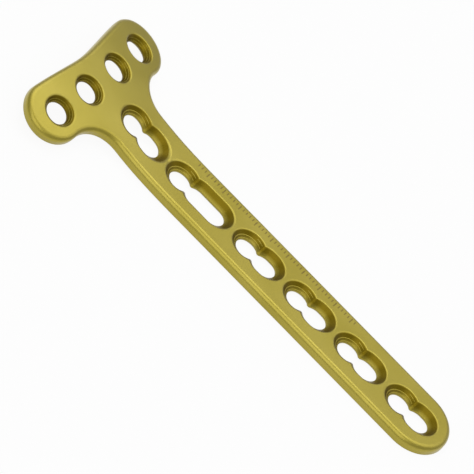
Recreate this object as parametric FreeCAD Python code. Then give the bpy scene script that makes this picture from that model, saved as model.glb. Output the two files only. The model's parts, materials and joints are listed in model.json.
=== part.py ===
"""Orthopedic bone plate: a straight shaft with six combination holes, and a bent T head with four round ones.

The plate is drawn flat first, in u across and v along, with v = 0 at the shaft's tip, and each flat place
is then carried onto the bent and arched surface by bent(). X is across, Y runs to the head, Z is up.
"""
import FreeCAD, Part
import math
import os

V = FreeCAD.Vector

# Plate, in millimetres
THICKNESS = 2.45
TOP_EDGE_RADIUS = 1.2
UNDER_EDGE_RADIUS = 0.2

# Shaft
SHAFT_WIDTH = 18.0
TIP_ROUNDING = 8.75

# Head, in the flat
NECK_RADIUS = 7.75
LOBE_RADIUS = 7.25
LOBE_SPAN = 35.9
LOBE_PLACE = 111.8
DIP_RADIUS = 45.0
DIP_RISE = 5.9

# Bend up to the head, and the arch across it
BEND_START = 75.0
BEND_LENGTH = 29.0
BEND_ANGLE = 10.1
ARCH_RADIUS = 130.0
ARCH_START = 82.0
ARCH_LENGTH = 22.0

# Combination holes: a round locking lobe towards the head, and a sliding slot towards the tip
HOLE_COUNT = 4
HOLE_PITCH = 16.0
FIRST_HOLE_PLACE = 11.1
LONG_HOLE_STEP = 21.0
LAST_HOLE_STEP = 16.15
LOBE_GAP = 5.0
SLOT_TRAVEL = 0.85
LONG_SLOT_TRAVEL = 5.75
COMBI_BORE_RADIUS = 2.75
COMBI_RIM_RADIUS = 4.5
COMBI_UNDER_RADIUS = 3.4
BORE_WAIST_RADIUS = 0.6
RIM_WAIST_RADIUS = 0.8

# Locking holes in the head
INNER_HOLE_SETBACK = 0.88
INNER_HOLE_SPAN = 12.15
OUTER_HOLE_SETBACK = 0.52
OUTER_HOLE_SPAN = 34.4
HEAD_BORE_RADIUS = 2.75
HEAD_RIM_RADIUS = 3.8
HEAD_UNDER_RADIUS = 3.4

# Levels of every hole above the underside, and its rounded rim
BORE_START = 0.65
COMBI_BORE_LENGTH = 0.4
HEAD_BORE_LENGTH = 0.5
HOLE_RIM_ROUNDING = 0.7

# Working values
HALF_WIDTH = SHAFT_WIDTH / 2
LOBE_X = LOBE_SPAN / 2
OVERCUT = 1.0
GRID_STEP = 3.0
GRID_MARGIN = 5.0
SEAM_TO_BEND = 7.5
SPINE_STEP = 0.25
OUTLINE_COUNT = 14
FLATTEST_CURVE = 1e-9
LAST_ROW_PLACE = FIRST_HOLE_PLACE + (HOLE_COUNT - 1) * HOLE_PITCH
LONG_HOLE_PLACE = LAST_ROW_PLACE + LONG_HOLE_STEP
LAST_HOLE_PLACE = LONG_HOLE_PLACE + LAST_HOLE_STEP
BRIDGE_START = LAST_ROW_PLACE + LOBE_GAP / 2 + COMBI_RIM_RADIUS
BRIDGE_END = LONG_HOLE_PLACE - LOBE_GAP / 2 - LONG_SLOT_TRAVEL - COMBI_RIM_RADIUS
FLAT_END = min((BRIDGE_START + BRIDGE_END) / 2, BEND_START - SEAM_TO_BEND)

# How far a face looks up: the upright part of its normal
UP = (0.93, 1.01)
DOWN = (-1.01, -0.93)
SIDEWAYS = (-0.35, 0.35)
SLANTED_UP = (0.36, 0.92)


def slope(v):
    """Angle in radians by which the plate has bent up at v, growing smoothly over the bend."""
    t = min(max((v - BEND_START) / BEND_LENGTH, 0.0), 1.0)
    return math.radians(BEND_ANGLE) * (t - math.sin(2 * math.pi * t) / (2 * math.pi))


def spine(v):
    """Place (y, z) of the underside's middle line at v."""
    if v <= BEND_START:
        return v, 0.0
    count = max(1, math.ceil((v - BEND_START) / SPINE_STEP))
    width = (v - BEND_START) / count
    angles = [slope(BEND_START + (i + 0.5) * width) for i in range(count)]
    return BEND_START + width * sum(map(math.cos, angles)), width * sum(map(math.sin, angles))


def arch(v):
    """Curvature across the plate at v, growing smoothly from flat to the head's arch."""
    t = min(max((v - ARCH_START) / ARCH_LENGTH, 0.0), 1.0)
    return t * t * t * (10 - 15 * t + 6 * t * t) / ARCH_RADIUS


def bent(u, v, h):
    """Place and normal, on the bent plate, of the flat place (u, v) at height h above the underside."""
    y, z = spine(v)
    lean = slope(v)
    curve = arch(v)
    turn = curve * u
    across = math.sin(turn) / curve if curve > FLATTEST_CURVE else u
    drop = (1 - math.cos(turn)) / curve if curve > FLATTEST_CURVE else 0.0
    normal = V(math.sin(turn), -math.sin(lean) * math.cos(turn), math.cos(lean) * math.cos(turn))
    foot = V(across, y + math.sin(lean) * drop, z - math.cos(lean) * drop)
    return foot + normal * h, normal


def arc_points(centre, radius, start, end, count):
    """Points on an arc in the flat, both ends included."""
    angles = [start + (end - start) * i / (count - 1) for i in range(count)]
    return [(centre[0] + radius * math.cos(a), centre[1] + radius * math.sin(a)) for a in angles]


def head_side():
    """Right side of the head in the flat: neck fillet, lobe and half of the dip between the lobes."""
    reach = NECK_RADIUS + LOBE_RADIUS
    neck_x = HALF_WIDTH + NECK_RADIUS
    neck = (neck_x, LOBE_PLACE - math.sqrt(reach ** 2 - (neck_x - LOBE_X) ** 2))
    lobe = (LOBE_X, LOBE_PLACE)
    dip = (0.0, LOBE_PLACE + DIP_RISE + DIP_RADIUS)
    out = math.atan2(lobe[1] - neck[1], lobe[0] - neck[0])
    along = math.atan2(dip[1] - lobe[1], dip[0] - lobe[0])
    apart = math.hypot(dip[0] - lobe[0], dip[1] - lobe[1])
    leave = along - math.acos((LOBE_RADIUS + DIP_RADIUS) / apart)
    points = arc_points(neck, NECK_RADIUS, math.pi, out, OUTLINE_COUNT)
    points += arc_points(lobe, LOBE_RADIUS, out - math.pi, leave, 2 * OUTLINE_COUNT)[1:]
    points += arc_points(dip, DIP_RADIUS, leave + math.pi, 1.5 * math.pi, OUTLINE_COUNT)
    return neck[1], points


def wall_point(u, v, level):
    """Place where the wall line at (u, v), which stands square to the surface, meets the given level."""
    foot, normal = bent(u, v, 0.0)
    return foot + normal * ((level - foot.z) / normal.z)


def wall_curve(flat, level, start, end):
    """Curve of the wall over flat points at a level, with the same parameters at every level."""
    lengths = [0.0]
    for before, after in zip(flat, flat[1:]):
        lengths.append(lengths[-1] + math.dist(before, after))
    curve = Part.BSplineCurve()
    points = [wall_point(u, v, level) for u, v in flat]
    curve.interpolate(Points=points, Parameters=lengths, InitialTangent=start, FinalTangent=end)
    return curve.toShape()


def head_outline(level):
    """Closed outline of the head where its walls, prolonged, meet a level plane."""
    neck_place, side = head_side()
    rises = round((neck_place - FLAT_END) / GRID_STEP)
    right = [(HALF_WIDTH, FLAT_END + (neck_place - FLAT_END) * i / rises) for i in range(rises)] + side
    left = [(-u, v) for u, v in reversed(right)]
    seam = Part.LineSegment(V(-HALF_WIDTH, FLAT_END, level), V(HALF_WIDTH, FLAT_END, level))
    edges = [seam.toShape()]
    edges.append(wall_curve(right, level, V(0, 1, 0), V(-1, 0, 0)))
    edges.append(wall_curve(left, level, V(-1, 0, 0), V(0, -1, 0)))
    return Part.Wire(edges)


def bent_surface(height):
    """Surface at a height above the underside, flat up to the bend, with its poles on an even grid."""
    reach_u = LOBE_X + LOBE_RADIUS + GRID_MARGIN
    first_v = FLAT_END - GRID_MARGIN
    last_v = LOBE_PLACE + LOBE_RADIUS + GRID_MARGIN
    columns = round(2 * reach_u / GRID_STEP)
    rows = round((last_v - first_v) / GRID_STEP)
    places_u = [-reach_u + 2 * reach_u * i / columns for i in range(columns + 1)]
    places_v = [first_v + (last_v - first_v) * j / rows for j in range(rows + 1)]
    poles = [[bent(u, v, height)[0] for v in places_v] for u in places_u]
    degree = 3
    ends_u = [degree + 1] + [1] * (columns - degree) + [degree + 1]
    ends_v = [degree + 1] + [1] * (rows - degree) + [degree + 1]
    knots_u = list(range(len(ends_u)))
    knots_v = list(range(len(ends_v)))
    surface = Part.BSplineSurface()
    surface.buildFromPolesMultsKnots(poles, ends_u, ends_v, knots_u, knots_v, False, False, degree, degree)
    return surface.toShape()


def shaft_body():
    """Straight shaft with its rounded tip, up to where the head's curved faces begin."""
    ellipse = Part.Ellipse(V(0, TIP_ROUNDING, 0), HALF_WIDTH, TIP_ROUNDING)
    corners = [V(HALF_WIDTH, TIP_ROUNDING, 0), V(HALF_WIDTH, FLAT_END, 0)]
    corners += [V(-HALF_WIDTH, FLAT_END, 0), V(-HALF_WIDTH, TIP_ROUNDING, 0)]
    edges = [Part.ArcOfEllipse(ellipse, math.pi, 2 * math.pi).toShape()]
    edges += [Part.LineSegment(p, q).toShape() for p, q in zip(corners, corners[1:])]
    return Part.Face(Part.Wire(edges)).extrude(V(0, 0, THICKNESS))


def head_body():
    """Bend, neck and head, between the two bent surfaces and inside the walls."""
    top = bent(0, LOBE_PLACE + LOBE_RADIUS, THICKNESS)[0].z + OVERCUT
    bottom = min(bent(LOBE_X + LOBE_RADIUS, LOBE_PLACE, 0)[0].z, 0.0) - OVERCUT
    depth = top - bottom + GRID_MARGIN
    walls = Part.makeLoft([head_outline(bottom), head_outline(top)], True, True)
    below_top = bent_surface(THICKNESS).extrude(V(0, 0, -depth))
    below_underside = bent_surface(0.0).extrude(V(0, 0, -depth))
    return walls.common(below_top).cut(below_underside)


def upness(face, point):
    """Upright part of the face's normal at a point on it."""
    return face.normalAt(*face.Surface.parameter(point)).z


def edges_between(shape, first, second):
    """Edges between a face with its upness in the first range and a face with its upness in the second."""
    def match(a, b):
        return first[0] < a < first[1] and second[0] < b < second[1]

    neighbours = {}
    for face in shape.Faces:
        for edge in face.Edges:
            neighbours.setdefault(edge.hashCode(), []).append((edge, face))
    found = []
    for sides in neighbours.values():
        edge = sides[0][0]
        middle = edge.valueAt((edge.FirstParameter + edge.LastParameter) / 2)
        looks = [upness(face, middle) for _, face in sides]
        if len(looks) == 2 and (match(*looks) or match(*reversed(looks))):
            found.append(edge)
    return found


def stand_on_plate(shape, u, v):
    """Shape drawn about the upright axis at the origin, stood at a flat place of the plate, square to it."""
    foot, normal = bent(u, v, 0.0)
    along = normal.cross(V(1, 0, 0)).normalize()
    across = along.cross(normal)
    standing = shape.copy()
    standing.Placement = FreeCAD.Placement(foot, FreeCAD.Rotation(across, along, normal))
    return standing


def hole_levels(bore_radius, bore_length, rim_radius, under_radius):
    """Heights and radii of a hole: under flare, bore, countersink, both ends run past the plate's faces."""
    bore_end = BORE_START + bore_length
    under_growth = (under_radius - bore_radius) / BORE_START
    rim_growth = (rim_radius - bore_radius) / (THICKNESS - bore_end)
    lowest = (-OVERCUT, under_radius + under_growth * OVERCUT)
    highest = (THICKNESS + OVERCUT, rim_radius + rim_growth * OVERCUT)
    return [lowest, (BORE_START, bore_radius), (bore_end, bore_radius), highest]


def head_hole_tool():
    """Round cutting tool of a locking hole in the head."""
    levels = hole_levels(HEAD_BORE_RADIUS, HEAD_BORE_LENGTH, HEAD_RIM_RADIUS, HEAD_UNDER_RADIUS)
    profile = [V(0, 0, levels[0][0])] + [V(r, 0, z) for z, r in levels] + [V(0, 0, levels[-1][0])]
    face = Part.Face(Part.makePolygon(profile + profile[:1]))
    return face.revolve(V(0, 0, 0), V(0, 0, 1), 360)


def combi_wire(z, radius, waist_radius, travel):
    """Outline of a combination hole at one height: round lobe, waist, and slot lobe of the same radius."""
    def arc(centre, size, start, end):
        middle = (start + end) / 2
        angles = (start, middle, end)
        places = [V(centre[0] + size * math.cos(a), centre[1] + size * math.sin(a), z) for a in angles]
        return Part.Arc(*places).toShape()

    half = LOBE_GAP / 2
    waist_x = math.sqrt((radius + waist_radius) ** 2 - half ** 2)
    lean = math.atan2(half, waist_x)
    slot_end = -half - travel
    edges = [arc((0, half), radius, -lean, math.pi + lean)]
    edges.append(arc((-waist_x, 0), waist_radius, lean, -lean))
    edges.append(arc((0, -half), radius, math.pi - lean, math.pi))
    edges.append(Part.LineSegment(V(-radius, -half, z), V(-radius, slot_end, z)).toShape())
    edges.append(arc((0, slot_end), radius, math.pi, 2 * math.pi))
    edges.append(Part.LineSegment(V(radius, slot_end, z), V(radius, -half, z)).toShape())
    edges.append(arc((0, -half), radius, 0, lean))
    edges.append(arc((waist_x, 0), waist_radius, math.pi + lean, math.pi - lean))
    return Part.Wire(edges)


def combi_hole_tool(travel):
    """Cutting tool of a combination hole, its middle on the waist."""
    levels = hole_levels(COMBI_BORE_RADIUS, COMBI_BORE_LENGTH, COMBI_RIM_RADIUS, COMBI_UNDER_RADIUS)
    waists = [BORE_WAIST_RADIUS, BORE_WAIST_RADIUS, BORE_WAIST_RADIUS, RIM_WAIST_RADIUS]
    wires = [combi_wire(z, radius, waist, travel) for (z, radius), waist in zip(levels, waists)]
    return Part.makeLoft(wires, True, True)


def with_hole(body, tool, u, v):
    """Body with one more hole, cut square to the plate at a flat place, its upper rim rounded."""
    body = body.cut(stand_on_plate(tool, u, v))
    return body.makeFillet(HOLE_RIM_ROUNDING, edges_between(body, UP, SLANTED_UP))


def bone_plate():
    """The whole plate: body with rounded edges, then every hole with its rounded rim."""
    body = shaft_body().fuse(head_body()).Solids[0]
    body = body.makeFillet(TOP_EDGE_RADIUS, edges_between(body, UP, SIDEWAYS))
    body = body.makeFillet(UNDER_EDGE_RADIUS, edges_between(body, DOWN, SIDEWAYS))
    combi_tool = combi_hole_tool(SLOT_TRAVEL)
    for i in range(HOLE_COUNT):
        body = with_hole(body, combi_tool, 0, FIRST_HOLE_PLACE + i * HOLE_PITCH)
    body = with_hole(body, combi_hole_tool(LONG_SLOT_TRAVEL), 0, LONG_HOLE_PLACE)
    body = with_hole(body, combi_tool, 0, LAST_HOLE_PLACE)
    round_tool = head_hole_tool()
    for span, setback in ((INNER_HOLE_SPAN, INNER_HOLE_SETBACK), (OUTER_HOLE_SPAN, OUTER_HOLE_SETBACK)):
        for side in (-1, 1):
            body = with_hole(body, round_tool, side * span / 2, LOBE_PLACE - setback)
    return body.Solids[0]


def on_origin(body):
    """Body moved along itself so that the origin lies halfway between its tip and the end of its head."""
    body.translate(V(0, -body.optimalBoundingBox().Center.y, 0))
    return body


plate = on_origin(bone_plate())
print("plate", plate.optimalBoundingBox(), "closed", plate.isValid())
os.makedirs("parts", exist_ok=True)
plate.exportStep("parts/bone_plate.step")
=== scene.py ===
"""T-shaped bone plate: its gold anodised finish, the threads of its locking holes, and a plain studio.

Everything is in metres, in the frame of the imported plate: X across, Y along the shaft to the head, Z up.
"""
import json
import math

import bpy
from bpy.props import FloatProperty, FloatVectorProperty, IntProperty, PointerProperty
from mathutils import Matrix, Vector


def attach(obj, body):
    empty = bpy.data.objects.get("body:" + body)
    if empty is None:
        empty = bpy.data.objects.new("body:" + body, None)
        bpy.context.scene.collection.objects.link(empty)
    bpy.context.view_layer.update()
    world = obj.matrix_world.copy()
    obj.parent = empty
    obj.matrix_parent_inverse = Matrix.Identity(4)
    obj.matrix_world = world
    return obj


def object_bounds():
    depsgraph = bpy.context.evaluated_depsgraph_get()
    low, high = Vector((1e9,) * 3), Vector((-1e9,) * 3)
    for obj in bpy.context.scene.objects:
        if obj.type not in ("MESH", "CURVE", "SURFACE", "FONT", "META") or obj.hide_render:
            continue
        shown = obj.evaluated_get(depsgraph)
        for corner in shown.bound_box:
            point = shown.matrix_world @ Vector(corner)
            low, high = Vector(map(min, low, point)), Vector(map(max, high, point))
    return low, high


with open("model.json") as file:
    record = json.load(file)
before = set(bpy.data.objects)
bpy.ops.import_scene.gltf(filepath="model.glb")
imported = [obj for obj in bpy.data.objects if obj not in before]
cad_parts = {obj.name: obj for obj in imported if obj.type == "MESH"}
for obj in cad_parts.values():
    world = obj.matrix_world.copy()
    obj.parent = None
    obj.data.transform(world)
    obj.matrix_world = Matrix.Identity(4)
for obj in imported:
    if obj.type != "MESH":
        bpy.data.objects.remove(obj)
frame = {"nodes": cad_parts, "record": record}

bl_info = {
    "name": "T-shaped bone plate",
    "version": (1, 0, 0),
    "blender": (4, 5, 0),
    "location": "3D View > Sidebar > Bone plate",
    "description": "Finish, locking threads and studio of a T-shaped bone plate",
    "category": "Object",
}

CAD_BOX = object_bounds()
MOUNTS = frame["record"]["mounts"]
MM = 0.001
LONG_HOLE = "locking_lobe_5"

# Soft steps in the materials, in millimetres
SHADE_EDGE_BLUR = 0.18
MARK_BLUR = 0.06
LEVEL_BLUR = 0.1

# Heights in a hole over its bore's upper end, in millimetres, that bound the painted shade on its walls
UNDERSIDE_HEIGHT = -0.95
HIGHEST_RIM = 2.0
# Lower ring where a shaft hole's painted shade fades
RING_HEIGHT = 0.3
RING_BLUR = 0.6

# Drift of the finish, in millimetres, and how far the roughness varies with it
DRIFT_SIZE = 14.0
DRIFT_BLUR = 0.3
CLOUD_SIZE = 1.6
CLOUD_ROUGHNESS = 0.10
GRAIN_ROUGHNESS = 0.04
MARK_ROUGHNESS = 0.15
COAT_ROUGHNESS = 0.3
# Share of the oxide gloss taken off where shade is painted in the holes
SHADE_COAT_LOSS = 0.8

# Threads: a ridge's triangle is one and a half times as high as its circle's radius
TRIANGLE_HEIGHT = 1.5
SMOOTH_ANGLE = math.radians(40)


class PlateFinish(bpy.types.PropertyGroup):
    """Gold anodised titanium, satin from blasting, with painted shade on the walls of its holes."""
    gold: FloatVectorProperty(
        name="Gold", description="Main colour of the anodised metal", subtype="COLOR", size=3,
        default=(0.48, 0.394, 0.045))
    olive: FloatVectorProperty(
        name="Olive", description="Colour that the gold drifts to in places", subtype="COLOR", size=3,
        default=(0.43, 0.35, 0.026))
    # Wall: a darker colour painted on the walls of the holes as their shade
    wall: FloatVectorProperty(
        name="Wall", description="Darker colour of the walls of the holes", subtype="COLOR", size=3,
        default=(0.205, 0.145, 0.002))
    # Shaft rim, head rim, slot gap and slot runs outline the painted shade in the holes
    shaft_rim: FloatProperty(
        name="Shaft rim", description="Radius to which the walls' colour reaches in a shaft hole",
        default=4.43 * MM, subtype="DISTANCE")
    head_rim: FloatProperty(
        name="Head rim", description="Radius to which the walls' colour reaches in a head hole",
        default=3.8 * MM, subtype="DISTANCE")
    slot_gap: FloatProperty(
        name="Slot gap", description="Distance from a shaft hole's locking lobe to its slot", default=5.0 * MM,
        subtype="DISTANCE")
    slot_run: FloatProperty(
        name="Slot run", description="Straight run of a slot", default=0.85 * MM, subtype="DISTANCE")
    long_slot_run: FloatProperty(
        name="Long slot run", description="Straight run of the long slot", default=5.75 * MM, subtype="DISTANCE")
    # Painted shade fades in the lower ring of a shaft hole, leaving that ring lighter
    wall_shade_fade: FloatProperty(
        name="Wall fade", description="How far the walls' colour fades in the lower ring of a shaft hole",
        default=0.7, min=0.0, max=1.0)
    # Threads get a fixed share of the painted wall shade all over
    thread_shade: FloatProperty(
        name="Thread wall", description="Share of the walls' colour in the threads", default=0.45, min=0.0, max=1.0)
    roughness: FloatProperty(
        name="Roughness", description="How satin the metal is", default=0.4, min=0.0, max=1.0)
    grain: FloatProperty(
        name="Grain", description="Size of the blasted grain", default=0.09 * MM, subtype="DISTANCE")
    grain_depth: FloatProperty(
        name="Grain depth", description="Depth of the blasted grain", default=0.0007 * MM, subtype="DISTANCE")
    coat: FloatProperty(
        name="Oxide gloss", description="Strength of the clear oxide layer", default=0.8, min=0.0, max=1.0)


class RuleMarks(bpy.types.PropertyGroup):
    """Fine etched scale along the shaft, one mark a millimetre."""
    start: FloatProperty(
        name="Start", description="Place of the first mark along the shaft", default=-26 * MM, subtype="DISTANCE")
    end: FloatProperty(
        name="End", description="Place of the last mark along the shaft", default=23 * MM, subtype="DISTANCE")
    edge: FloatProperty(
        name="Edge", description="Distance of the marks' outer ends from the middle line", default=7.5 * MM,
        subtype="DISTANCE")
    length: FloatProperty(
        name="Length", description="Length of a mark", default=1.0 * MM, subtype="DISTANCE")
    long_length: FloatProperty(
        name="Long length", description="Length of each fifth mark", default=1.6 * MM, subtype="DISTANCE")
    width: FloatProperty(
        name="Width", description="Width of a mark", default=0.28 * MM, subtype="DISTANCE")
    level: FloatProperty(
        name="Level", description="Height over the underside above which marks are etched", default=2.0 * MM,
        subtype="DISTANCE")
    darkness: FloatProperty(
        name="Darkness", description="How strongly a mark shows", default=0.75, min=0.0, max=1.0)
    colour: FloatVectorProperty(
        name="Colour", description="Colour of a full mark", subtype="COLOR", size=3, default=(0.19, 0.13, 0.01))


class LockingThread(bpy.types.PropertyGroup):
    """Fine thread on the coned wall above the bore of each locking hole."""
    pitch: FloatProperty(
        name="Pitch", description="Rise of one turn", default=0.45 * MM, subtype="DISTANCE")
    lobe_height: FloatProperty(
        name="Lobe height", description="How far a ridge stands out of a shaft hole's wall", default=0.15 * MM,
        subtype="DISTANCE")
    head_height: FloatProperty(
        name="Head height", description="How far a ridge stands out of a head hole's wall", default=0.10 * MM,
        subtype="DISTANCE")
    sink: FloatProperty(
        name="Sink", description="How far a ridge's foot lies in the wall", default=0.05 * MM, subtype="DISTANCE")
    turns: FloatProperty(
        name="Turns", description="Turns of the thread", default=2.0, min=0.5, max=6.0)
    steps: IntProperty(
        name="Steps", description="Faces round one turn", default=72, min=12, max=180)
    lobe_growth: FloatProperty(
        name="Lobe growth", description="Growth of a shaft hole's radius for each metre up its countersink",
        default=1.25)
    head_growth: FloatProperty(
        name="Head growth", description="Growth of a head hole's radius for each metre up its countersink",
        default=0.81)
    lobe_cut: FloatProperty(
        name="Lobe cut", description="Distance from a lobe's axis to where the slot beside it cuts its thread",
        default=1.95 * MM, subtype="DISTANCE")


class Studio(bpy.types.PropertyGroup):
    """Camera, floor and lamps."""
    azimuth: FloatProperty(
        name="Azimuth", description="Way the camera looks, from +Y towards -X", default=math.radians(275.95),
        subtype="ANGLE")
    elevation: FloatProperty(
        name="Elevation", description="Height of the camera over the horizon", default=math.radians(39.09),
        subtype="ANGLE")
    roll: FloatProperty(
        name="Roll", description="Turn of the camera about its own axis", default=math.radians(41.79),
        subtype="ANGLE")
    distance: FloatProperty(
        name="Distance", description="Distance from the camera to the aim", default=3.935, subtype="DISTANCE")
    aim: FloatVectorProperty(
        name="Aim", description="Point on the floor in the middle of the picture", size=3, subtype="XYZ",
        default=(1.822 * MM, 5.667 * MM, 0.0))
    lens: FloatProperty(
        name="Lens", description="Focal length in millimetres", default=1356.0)
    floor: FloatVectorProperty(
        name="Floor", description="Colour of the floor", subtype="COLOR", size=3, default=(0.86, 0.86, 0.86))
    floor_size: FloatProperty(
        name="Floor size", description="Width of the floor", default=4.0, subtype="DISTANCE")
    floor_glow: FloatProperty(
        name="Floor glow", description="Share of plain white in the floor as the camera sees it", default=0.93,
        min=0.0, max=1.0)
    floor_mirrored: FloatProperty(
        name="Floor mirrored", description="Share of plain white in the floor as the metal mirrors it",
        default=0.5, min=0.0, max=1.0)
    surround: FloatProperty(
        name="Surround", description="Brightness of the room", default=0.45)
    lamp_size: FloatProperty(
        name="Lamp size", description="Width of each soft lamp", default=0.7, subtype="DISTANCE")
    lamp_distance: FloatProperty(
        name="Lamp distance", description="Distance of each soft lamp", default=0.8, subtype="DISTANCE")
    left_key: FloatVectorProperty(
        name="Left key", size=3,
        description="Main lamp on the left: azimuth and elevation in degrees, and power in watts",
        default=(-35.0, 58.0, 1.1))
    right_key: FloatVectorProperty(
        name="Right key", size=3,
        description="Main lamp on the right: azimuth and elevation in degrees, and power in watts",
        default=(45.0, 60.0, 1.65))
    edge_light: FloatVectorProperty(
        name="Edge light", size=3,
        description="Lamp over the near edge: azimuth and elevation in degrees, and power in watts",
        default=(175.0, 48.0, 1.55))


class Output:
    """Output of a shader node that builds Math nodes when it is used in a sum."""

    def __init__(self, shader, socket):
        self.shader = shader
        self.socket = socket

    def math(self, operation, *others):
        return self.shader.node("ShaderNodeMath", {"operation": operation}, dict(enumerate(others)))

    def __add__(self, other):
        return self.math("ADD", self, other)

    def __radd__(self, other):
        return self.math("ADD", other, self)

    def __sub__(self, other):
        return self.math("SUBTRACT", self, other)

    def __rsub__(self, other):
        return self.math("SUBTRACT", other, self)

    def __mul__(self, other):
        return self.math("MULTIPLY", self, other)

    def __rmul__(self, other):
        return self.math("MULTIPLY", other, self)

    def __truediv__(self, other):
        return self.math("DIVIDE", self, other)

    def __abs__(self):
        return self.math("ABSOLUTE", self)

    def fraction(self):
        return self.math("FRACT", self)

    def larger(self, other):
        return self.math("MAXIMUM", self, other)

    def clamp(self, low, high):
        return self.shader.node("ShaderNodeClamp", {}, {"Value": self, "Min": low, "Max": high})

    def over(self, limit, blur):
        """1 where the value is over the limit and 0 where it is under, with a soft step."""
        ends = {"From Min": limit - blur / 2, "From Max": limit + blur / 2}
        return self.shader.node("ShaderNodeMapRange", {"clamp": True}, {"Value": self, **ends})


class Shader:
    """Node tree of one material."""

    def __init__(self, name):
        self.material = bpy.data.materials.new(name)
        self.material.use_nodes = True
        self.tree = self.material.node_tree
        self.tree.nodes.clear()

    def node(self, kind, settings=None, values=None, out=0):
        """Adds a node, makes its settings, then gives its sockets values or links, and returns one output."""
        node = self.tree.nodes.new(kind)
        for name, value in (settings or {}).items():
            setattr(node, name, value)
        for name, value in (values or {}).items():
            if isinstance(value, Output):
                self.tree.links.new(value.socket, node.inputs[name])
            else:
                node.inputs[name].default_value = value
        return Output(self, node.outputs[out]) if node.outputs else None

    def place(self):
        """Place on the object, in millimetres, as one vector."""
        where = self.node("ShaderNodeTexCoord", out="Object")
        return self.node("ShaderNodeVectorMath", {"operation": "SCALE"}, {0: where, "Scale": 1 / MM})

    def parts(self, vector):
        """The three parts of a vector."""
        apart = self.node("ShaderNodeSeparateXYZ", {}, {"Vector": vector})
        return [Output(self, socket) for socket in apart.socket.node.outputs]

    def noise(self, place, size, detail, seed=0.0):
        """Noise about 0.5, its lumps about a size in millimetres."""
        moved = self.node("ShaderNodeVectorMath", {"operation": "ADD"}, {0: place, 1: (seed, seed, seed)})
        return self.node("ShaderNodeTexNoise", {}, {"Vector": moved, "Scale": 1 / size, "Detail": detail})

    def mix(self, factor, first, second):
        """Colour between two colours."""
        colours = {"Factor": factor, "A": opaque(first), "B": opaque(second)}
        node = self.tree.nodes.new("ShaderNodeMix")
        node.data_type = "RGBA"
        sockets = {s.identifier: s for s in node.inputs}
        names = {"Factor": "Factor_Float", "A": "A_Color", "B": "B_Color"}
        for name, value in colours.items():
            socket = sockets[names[name]]
            if isinstance(value, Output):
                self.tree.links.new(value.socket, socket)
            else:
                socket.default_value = value
        return Output(self, next(s for s in node.outputs if s.identifier == "Result_Color"))

    def finish(self, surface):
        self.node("ShaderNodeOutputMaterial", {}, {"Surface": surface})
        return self.material


def opaque(colour):
    return colour if isinstance(colour, Output) else (*colour, 1.0)


def painted_hole_shade(shader, place, finish):
    """Painted shade: 1 on the walls of the holes and 0 elsewhere."""
    walls = 0.0
    for mount in MOUNTS:
        if mount["kind"] == "threaded_hole":
            walls = painted_shade_in_hole(shader, place, finish, mount) + walls
    return walls


def painted_shade_in_hole(shader, place, finish, mount):
    """Painted shade: 1 on the walls of one hole, told by the distance from its axis and, in a shaft hole, from its
    slot.
    """
    hole = hole_place(mount).inverted()
    local = shader.node("ShaderNodeMapping", {}, {
        "Vector": place, "Location": hole.translation / MM, "Rotation": hole.to_euler()})
    across, along, height = shader.parts(local)

    def disc(x, y, radius):
        return 1 - (x * x + y * y).over(radius * radius, 2 * radius * SHADE_EDGE_BLUR)

    in_plate = height.over(UNDERSIDE_HEIGHT, LEVEL_BLUR) * (1 - height.over(HIGHEST_RIM, LEVEL_BLUR))
    if mount["name"].startswith("head_hole"):
        return disc(across, along, finish.head_rim / MM) * in_plate
    run = finish.long_slot_run if mount["name"] == LONG_HOLE else finish.slot_run
    gap = finish.slot_gap / MM
    off_slot = along - along.clamp(-gap - run / MM, -gap)
    rim = finish.shaft_rim / MM
    inside = disc(across, along, rim).larger(disc(across, off_slot, rim))
    # Painted shade is lighter in the lower ring of a shaft hole
    depth = height.over(RING_HEIGHT, RING_BLUR) * finish.wall_shade_fade + (1 - finish.wall_shade_fade)
    return inside * in_plate * depth


def rule_marks(shader, place, marks):
    """1 on the etched scale and 0 beside it."""
    x, y, z = shader.parts(place)
    start, end, edge = marks.start / MM, marks.end / MM, marks.edge / MM
    width = marks.width / MM

    def stripes(step):
        off_line = abs((y / step + 0.5).fraction() - 0.5) * step
        return 1 - off_line.over(width / 2, MARK_BLUR)

    def band(length):
        return x.over(edge - length / MM, MARK_BLUR) * (1 - x.over(edge, MARK_BLUR))

    along = y.over(start - width, MARK_BLUR) * (1 - y.over(end + width, MARK_BLUR))
    top = z.over(CAD_BOX[0].z / MM + marks.level / MM, MARK_BLUR)
    short = stripes(1.0) * band(marks.length)
    long = stripes(5.0) * band(marks.long_length)
    return (short + long).over(0.5, 0.9) * along * top


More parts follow.
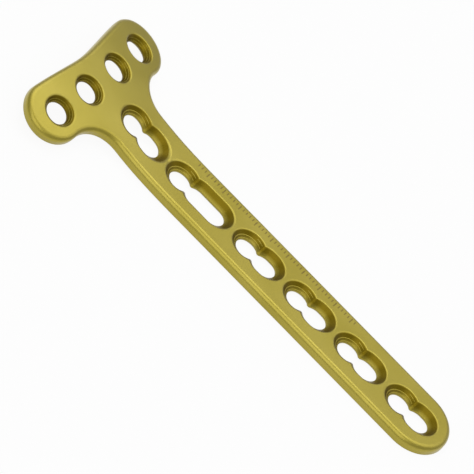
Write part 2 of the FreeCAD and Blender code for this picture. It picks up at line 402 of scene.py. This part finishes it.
def anodised_metal(name, finish, marks=None):
    """Satin gold anodised titanium with painted shade in the holes, and an etched scale where marks are given."""
    shader = Shader(name)
    place = shader.place()
    drift = shader.noise(place, DRIFT_SIZE, 2.0).over(0.5, DRIFT_BLUR)
    colour = shader.mix(drift, finish.gold, finish.olive)
    # Painted shade in the holes: a mask on the plate, a fixed share on the threads, mixed into the colour
    walls = painted_hole_shade(shader, place, finish) if marks else finish.thread_shade
    colour = shader.mix(walls, colour, finish.wall)
    # Less oxide gloss where the shade is painted
    coat = finish.coat * (1 - walls * SHADE_COAT_LOSS)
    fine = shader.noise(place, finish.grain / MM, 2.0, 7.0)
    cloud = shader.noise(place, CLOUD_SIZE, 3.0, 3.0)
    roughness = finish.roughness + (fine - 0.5) * GRAIN_ROUGHNESS + (cloud - 0.5) * CLOUD_ROUGHNESS
    if marks:
        etched = rule_marks(shader, place, marks)
        colour = shader.mix(etched * marks.darkness, colour, marks.colour)
        roughness = roughness + etched * MARK_ROUGHNESS
    bump = shader.node("ShaderNodeBump", {}, {
        "Strength": 1.0, "Distance": finish.grain_depth, "Height": fine})
    metal = shader.node("ShaderNodeBsdfPrincipled", {}, {
        "Base Color": colour, "Metallic": 1.0, "Roughness": roughness, "Normal": bump,
        "Coat Weight": coat, "Coat Roughness": COAT_ROUGHNESS})
    return shader.finish(metal)


def clear_selection():
    if bpy.context.mode != "OBJECT":
        bpy.ops.object.mode_set(mode="OBJECT")
    bpy.ops.object.select_all(action="DESELECT")


def hole_place(mount):
    """Place and turn of a hole: Z along its screw, Y towards the head, its middle on the bore's upper end."""
    axis = Vector(mount["axis"]).normalized()
    along = axis.cross(Vector((1, 0, 0))).normalized()
    across = along.cross(axis)
    upper_end = Vector(mount["pos_m"]) + axis * mount["dims"]["length_mm"] * MM / 2
    turn = Matrix((across, along, axis)).transposed().to_4x4()
    return Matrix.Translation(upper_end) @ turn


def thread_coil(name, radius, growth, height, thread):
    """Thread on a cone about the upright axis, from the bore's upper end at the floor of the scene."""
    ring = height / TRIANGLE_HEIGHT
    clear_selection()
    bpy.ops.mesh.primitive_circle_add(
        vertices=3, radius=ring, fill_type="NOTHING", location=(radius + thread.sink - ring / 2, 0, ring),
        rotation=(math.radians(90), math.radians(-90), 0))
    coil = bpy.context.object
    coil.name = name
    bpy.ops.object.transform_apply(location=True, rotation=True, scale=True)
    bpy.ops.object.modifier_add(type="SCREW")
    turns = coil.modifiers[-1]
    turns.axis = "Z"
    turns.angle = math.radians(360) * thread.turns
    turns.screw_offset = thread.pitch * thread.turns
    turns.steps = round(thread.steps * thread.turns)
    turns.render_steps = turns.steps
    bpy.ops.object.modifier_apply(modifier=turns.name)
    bpy.ops.object.modifier_add(type="SIMPLE_DEFORM")
    cone = coil.modifiers[-1]
    cone.deform_method = "TAPER"
    cone.deform_axis = "Z"
    heights = [v.co.z for v in coil.data.vertices]
    cone.factor = growth / radius * (max(heights) - min(heights))
    bpy.ops.object.modifier_apply(modifier=cone.name)
    return coil


def close_coil(coil, cut=None):
    """Cuts a coil off where the slot beside it begins, closes its ends and turns its faces outwards."""
    bpy.ops.object.mode_set(mode="EDIT")
    bpy.ops.mesh.select_all(action="SELECT")
    bpy.ops.mesh.remove_doubles(threshold=1e-7)
    if cut is not None:
        bpy.ops.mesh.bisect(plane_co=(0, -cut, 0), plane_no=(0, 1, 0), use_fill=True, clear_inner=True)
    bpy.ops.mesh.select_all(action="DESELECT")
    bpy.ops.mesh.select_mode(type="EDGE")
    bpy.ops.mesh.select_non_manifold()
    bpy.ops.mesh.fill_holes(sides=0)
    bpy.ops.mesh.select_all(action="SELECT")
    bpy.ops.mesh.normals_make_consistent(inside=False)
    bpy.ops.object.mode_set(mode="OBJECT")
    bpy.ops.object.shade_smooth_by_angle(angle=SMOOTH_ANGLE)


def copy_to_hole(coil, name, mount, material):
    """Copy of a coil, with its own mesh, set in a hole."""
    clear_selection()
    coil.select_set(True)
    bpy.context.view_layer.objects.active = coil
    bpy.ops.object.duplicate()
    piece = bpy.context.object
    piece.name = name
    piece.matrix_world = hole_place(mount)
    bpy.ops.object.transform_apply(location=True, rotation=True, scale=True)
    piece.data.materials.clear()
    piece.data.materials.append(material)
    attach(piece, "root")
    return piece


class PLATE_OT_anodise(bpy.types.Operator):
    """Gives the plate its gold anodised finish, with painted shade in its holes, and its etched scale"""
    bl_idname = "plate.anodise"
    bl_label = "Anodise the plate"

    def execute(self, context):
        scene = context.scene
        metal = anodised_metal("gold_anodised_plate", scene.plate_finish, scene.plate_marks)
        plate = frame["nodes"]["bone_plate"]
        plate.data.materials.clear()
        plate.data.materials.append(metal)
        return {"FINISHED"}


class PLATE_OT_locking_threads(bpy.types.Operator):
    """Cuts the fine thread of every locking hole"""
    bl_idname = "plate.locking_threads"
    bl_label = "Cut the locking threads"

    def execute(self, context):
        scene = context.scene
        thread = scene.plate_thread
        # The thread material carries a fixed share of painted wall shade
        metal = anodised_metal("gold_anodised_thread", scene.plate_finish)
        holes = [m for m in MOUNTS if m["kind"] == "threaded_hole"]
        families = {
            "locking_lobe": (thread.lobe_growth, thread.lobe_height, thread.lobe_cut),
            "head_hole": (thread.head_growth, thread.head_height, None),
        }
        for family, (growth, height, cut) in families.items():
            members = [m for m in holes if m["name"].startswith(family)]
            coil = thread_coil(family + "_coil", members[0]["dims"]["r_mm"] * MM, growth, height, thread)
            close_coil(coil, cut)
            for mount in members:
                copy_to_hole(coil, "thread_" + mount["name"], mount, metal)
            bpy.data.objects.remove(coil)
        return {"FINISHED"}


class PLATE_OT_studio(bpy.types.Operator):
    """Sets up the white floor, the soft lamps, the room and the camera"""
    bl_idname = "plate.studio"
    bl_label = "Set up the studio"

    def execute(self, context):
        scene = context.scene
        studio = scene.plate_studio
        self.add_floor(studio)
        for name in ("left_key", "right_key", "edge_light"):
            self.add_lamp(studio, name)
        self.light_room(scene, studio)
        self.add_camera(scene, studio)
        scene.view_settings.view_transform = "Standard"
        return {"FINISHED"}

    def add_floor(self, studio):
        clear_selection()
        bpy.ops.mesh.primitive_plane_add(size=studio.floor_size, location=(0, 0, CAD_BOX[0].z))
        floor = bpy.context.object
        floor.name = "floor"
        shader = Shader("white_floor")
        rays = shader.node("ShaderNodeLightPath", out="Is Camera Ray")
        glossy = Output(shader, rays.socket.node.outputs["Is Glossy Ray"])
        plain = shader.node("ShaderNodeBsdfDiffuse", {}, {"Color": opaque(studio.floor)})
        glow = shader.node("ShaderNodeEmission", {}, {"Color": (1, 1, 1, 1), "Strength": 1.0})
        share = rays * studio.floor_glow + glossy * studio.floor_mirrored
        surface = shader.node("ShaderNodeMixShader", {}, {0: share, 1: plain, 2: glow})
        floor.data.materials.append(shader.finish(surface))

    def add_lamp(self, studio, name):
        clear_selection()
        azimuth, elevation, power = getattr(studio, name)
        azimuth, elevation = math.radians(azimuth), math.radians(elevation)
        way = Vector((math.cos(azimuth) * math.cos(elevation), math.sin(azimuth) * math.cos(elevation),
                      math.sin(elevation)))
        place = way * studio.lamp_distance
        turn = way.to_track_quat("Z", "Y").to_euler()
        bpy.ops.object.light_add(type="AREA", location=place, rotation=turn)
        lamp = bpy.context.object
        lamp.name = name
        lamp.data.shape = "SQUARE"
        lamp.data.size = studio.lamp_size
        lamp.data.energy = power

    def light_room(self, scene, studio):
        room = bpy.data.worlds.new("room")
        room.use_nodes = True
        room.node_tree.nodes["Background"].inputs["Color"].default_value = (1, 1, 1, 1)
        room.node_tree.nodes["Background"].inputs["Strength"].default_value = studio.surround
        scene.world = room

    def add_camera(self, scene, studio):
        clear_selection()
        turn = Matrix.Rotation(studio.azimuth, 4, "Z")
        turn = turn @ Matrix.Rotation(math.pi / 2 - studio.elevation, 4, "X")
        turn = turn @ Matrix.Rotation(studio.roll, 4, "Z")
        place = Vector(studio.aim) + turn @ Vector((0, 0, studio.distance))
        bpy.ops.object.camera_add(location=place, rotation=turn.to_euler())
        camera = bpy.context.object
        camera.data.lens = studio.lens
        camera.data.sensor_width = 36
        camera.data.sensor_fit = "AUTO"
        camera.data.clip_start = studio.distance / 10
        camera.data.clip_end = studio.distance * 10
        scene.camera = camera


class PLATE_PT_sidebar(bpy.types.Panel):
    """Steps that dress the plate"""
    bl_idname = "PLATE_PT_sidebar"
    bl_label = "Bone plate"
    bl_space_type = "VIEW_3D"
    bl_region_type = "UI"
    bl_category = "Bone plate"

    def draw(self, context):
        for step in STEPS:
            self.layout.operator(step.bl_idname)
        for name in GROUPS:
            group = getattr(context.scene, name)
            box = self.layout.box()
            for prop in group.bl_rna.properties.keys()[2:]:
                box.prop(group, prop)


STEPS = (PLATE_OT_anodise, PLATE_OT_locking_threads, PLATE_OT_studio)
GROUPS = {
    "plate_finish": PlateFinish,
    "plate_marks": RuleMarks,
    "plate_thread": LockingThread,
    "plate_studio": Studio,
}
CLASSES = (*GROUPS.values(), *STEPS, PLATE_PT_sidebar)


def register():
    for cls in CLASSES:
        bpy.utils.register_class(cls)
    for name, group in GROUPS.items():
        setattr(bpy.types.Scene, name, PointerProperty(type=group))


def unregister():
    for name in GROUPS:
        delattr(bpy.types.Scene, name)
    for cls in reversed(CLASSES):
        bpy.utils.unregister_class(cls)


def main():
    register()
    bpy.ops.plate.anodise()
    bpy.ops.plate.locking_threads()
    bpy.ops.plate.studio()


if __name__ == "__main__":
    main()
